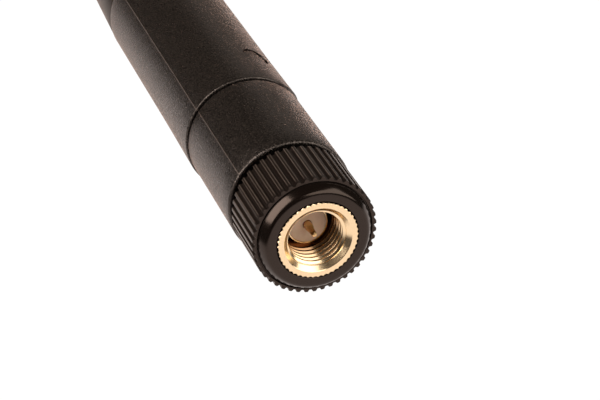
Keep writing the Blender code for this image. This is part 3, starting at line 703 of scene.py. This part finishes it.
def white_table():
    """A matt white table top, which shows white to the eye and in reflections."""
    made, tree, shader = material("white_table", Roughness=0.9, Base_Color=linear("F2F0EE"))
    ray = node(tree, "ShaderNodeLightPath")
    camera_ray = ray.outputs["Is Camera Ray"]
    # Reflections show a round table that ends 0.2 m in front of the plug, and is a warmer white
    place = node(tree, "ShaderNodeTexCoord").outputs["Object"]
    away = node(tree, "ShaderNodeVectorMath", {0: place, 1: (0.2, 0.14, TABLE_TOP)},
                operation="DISTANCE").outputs["Value"]
    rim = node(tree, "ShaderNodeMapRange", {"Value": away, "From Min": 0.39, "From Max": 0.35,
                                            "To Max": 1.12})
    strength = node(tree, "ShaderNodeMix", {"Factor": camera_ray, "A": rim.outputs["Result"],
                                            "B": 1.06})
    white = node(tree, "ShaderNodeMix", {"Factor": camera_ray, "A": linear("FFF2EC"),
                                         "B": linear("FFFFFF")}, data_type="RGBA")
    shine = node(tree, "ShaderNodeEmission", {"Color": white.outputs["Result"],
                                              "Strength": strength.outputs["Result"]})
    mirror = node(tree, "ShaderNodeMath", {0: ray.outputs["Is Glossy Ray"],
                                           1: ray.outputs["Is Transmission Ray"]}, operation="ADD")
    seen = node(tree, "ShaderNodeMath", {0: camera_ray, 1: mirror.outputs[0]},
                operation="ADD", use_clamp=True)
    share = node(tree, "ShaderNodeMath", {0: seen.outputs[0], 1: 0.94}, operation="MULTIPLY")
    blend = node(tree, "ShaderNodeMixShader", {"Fac": share.outputs[0], 1: shader.outputs["BSDF"],
                                               2: shine.outputs["Emission"]})
    tree.links.new(blend.outputs["Shader"], tree.nodes["Material Output"].inputs["Surface"])
    return made


def studio():
    """White table under three soft lamps, in a dim warm room."""
    world = bpy.data.worlds.new("world")
    world.use_nodes = True
    room = world.node_tree.nodes["Background"]
    room.inputs["Color"].default_value = linear("FFE8D4")
    room.inputs["Strength"].default_value = 0.08
    bpy.context.scene.world = world

    look = white_table()
    reach, height = 3000, TABLE_TOP / MM
    corners = [(-reach, -reach, height), (reach, -reach, height), (reach, reach, height),
               (-reach, reach, height)]
    table = solid("table", corners, [[0, 1, 2, 3]])
    if table.data.polygons[0].normal.z < 0:
        table.data.flip_normals()
    table.data.materials.append(look)

    softbox("right_lamp", (0.569, -0.632, 0.525), 0.8, 0.98, 0.7, 2.5, "FFF6EC")
    softbox("left_lamp", (-0.809, -0.128, 0.574), 0.8, 0.56, 0.74, 5.5, "FFF3EA")
    softbox("back_lamp", (0.55, 0.8, 0.3), 1.0, 0.8, 0.4, 0.3, "FFF3EA")


def dress(piece, body, look, slot, *nodes):
    """Gives a piece its material, the body that it rides on and the nodes that it stands for."""
    piece.data.materials.clear()
    piece.data.materials.append(look)
    if nodes:
        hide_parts(*nodes)
    if body:
        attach(piece, body)


def main():
    """Makes the camera, the studio and every piece, and gives the CAD nodes that stay a look."""
    camera()
    studio()

    abs_plastic = spark_eroded_abs()
    grip = moulded_grip()
    # Moulded acetal: smooth, satin and black
    acetal = plain_plastic("moulded_acetal", "1B1917", "262320", 0.34, 0.2, 0.1)
    # Moulded thermoplastic elastomer: satin, with a soft bloom at low angles
    sheath = plain_plastic("moulded_tpe", "14110F", "1E1A18", 0.46, 0.15, 0.25, sheen=0.5)
    # Gold over turned brass: bright at the mouth, with painted brown shade darkening it down the
    # thread
    gold = turned_metal("gold_plated_brass", "FBE4BE", "F6DCB2", 0.2, 0.05, 0.08, uneven=0.02,
                        depth_shade=(0.8 * MM, 4.1 * MM, "86603F"))
    # The same plating on the plug's tube, with painted brown shade behind its bright lip
    tube_gold = turned_metal("gold_plated_tube", "FBE4BE", "F6DCB2", 0.2, 0.05, 0.08, uneven=0.02,
                             depth_shade=(3.5 * MM, 3.7 * MM, "7E5A3C"))
    # Gold over the bronze contact: deeper in colour and a little rougher
    pin_gold = turned_metal("gold_plated_bronze", "E2BE8A", "CFA66E", 0.26, 0.06, 0.1)
    # Bare metals of the inner pieces: satin, each in its own colour
    brass = turned_metal("drawn_brass", "D9B670", "C09A50", 0.3, 0.08, 0.2)
    bronze = turned_metal("phosphor_bronze", "C58B58", "A8703E", 0.32, 0.08, 0.2)
    steel = turned_metal("spring_steel", "B4B6B9", "95979A", 0.3, 0.08, 0.2)
    silver = turned_metal("silvered_copper_braid", "D4D2CD", "B0ADA8", 0.32, 0.12, 0.5)
    copper = turned_metal("drawn_copper", "D98A5C", "B96A3E", 0.28, 0.1, 0.2)
    white = ptfe()
    foam = cut_foam()
    # Extruded FEP: smooth, glossy and brown
    fep = plain_plastic("extruded_fep", "6B3F26", "87522F", 0.3, 0.4, 0.05)

    split = round_angles(256, (PARTING, PARTING + pi))
    dress(nut_insert(), "nut", gold, "gold", "nut_insert")
    dress(nut_knob(), "nut", grip, "grip_plastic", "nut_knob")
    dress(base_housing(split), "base", abs_plastic, "eroded_plastic", "base_housing")
    dress(hinge_fork(split), "whip", abs_plastic, "eroded_plastic", "hinge_fork")
    dress(pivot_pin("pin_left", 1), "whip", abs_plastic, "eroded_plastic", "pivot_pin_left")
    dress(pivot_pin("pin_right", -1), "whip", abs_plastic, "eroded_plastic", "pivot_pin_right")
    dress(whip_sheath(), "whip", sheath, "sheath_plastic", "whip_sheath")
    dress(contact_pin(), "connector", pin_gold, "gold", "centre_pin")
    dress(insulator_disc(), "connector", white, "insulator", "plug_dielectric")
    dress(plug_tube(), "connector", tube_gold, "gold", "plug_shell")

    layers = (
        ("cable_jacket", [(0.7, 20.1), (0.9, 20.1), (0.9, 63.0), (0.7, 63.0)], fep, "cable_jacket",
         "coax_jacket"),
        ("cable_braid", [(1.19, 15.24), (1.33, 15.24), (1.33, 18.54), (0.64, 19.94), (0.64, 66.96),
                         (0.5, 66.96), (0.5, 19.94), (1.19, 18.69)], silver, "silvered_copper",
         "coax_braid"),
        ("cable_dielectric", [(0.19, 10.54), (0.42, 10.54), (0.42, 68.45), (0.19, 68.45)], white,
         "insulator", "coax_dielectric"),
        ("cable_core", [(0, 8.79), (0.15, 8.79), (0.15, 72.6), (0, 72.6)], copper, "copper",
         "coax_conductor"),
    )
    for name, rows, look, slot, replaced in layers:
        layer = cable_layer(name, rows)
        dress(layer, None, look, slot, replaced)
        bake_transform(layer)

    kept = {"retaining_ring": bronze, "swivel_circlip": steel, "wave_washer": steel,
            "crimp_ferrule": brass, "swivel_bush": acetal, "dipole_sleeve": brass,
            "radiator_tube": brass, "sleeve_spacer_lower": foam, "sleeve_spacer_upper": foam,
            "radiator_spacer": foam}
    for name, look in kept.items():
        frame["nodes"][name].data.materials.clear()
        frame["nodes"][name].data.materials.append(look)

    bpy.context.scene.view_settings.view_transform = "Standard"


main()
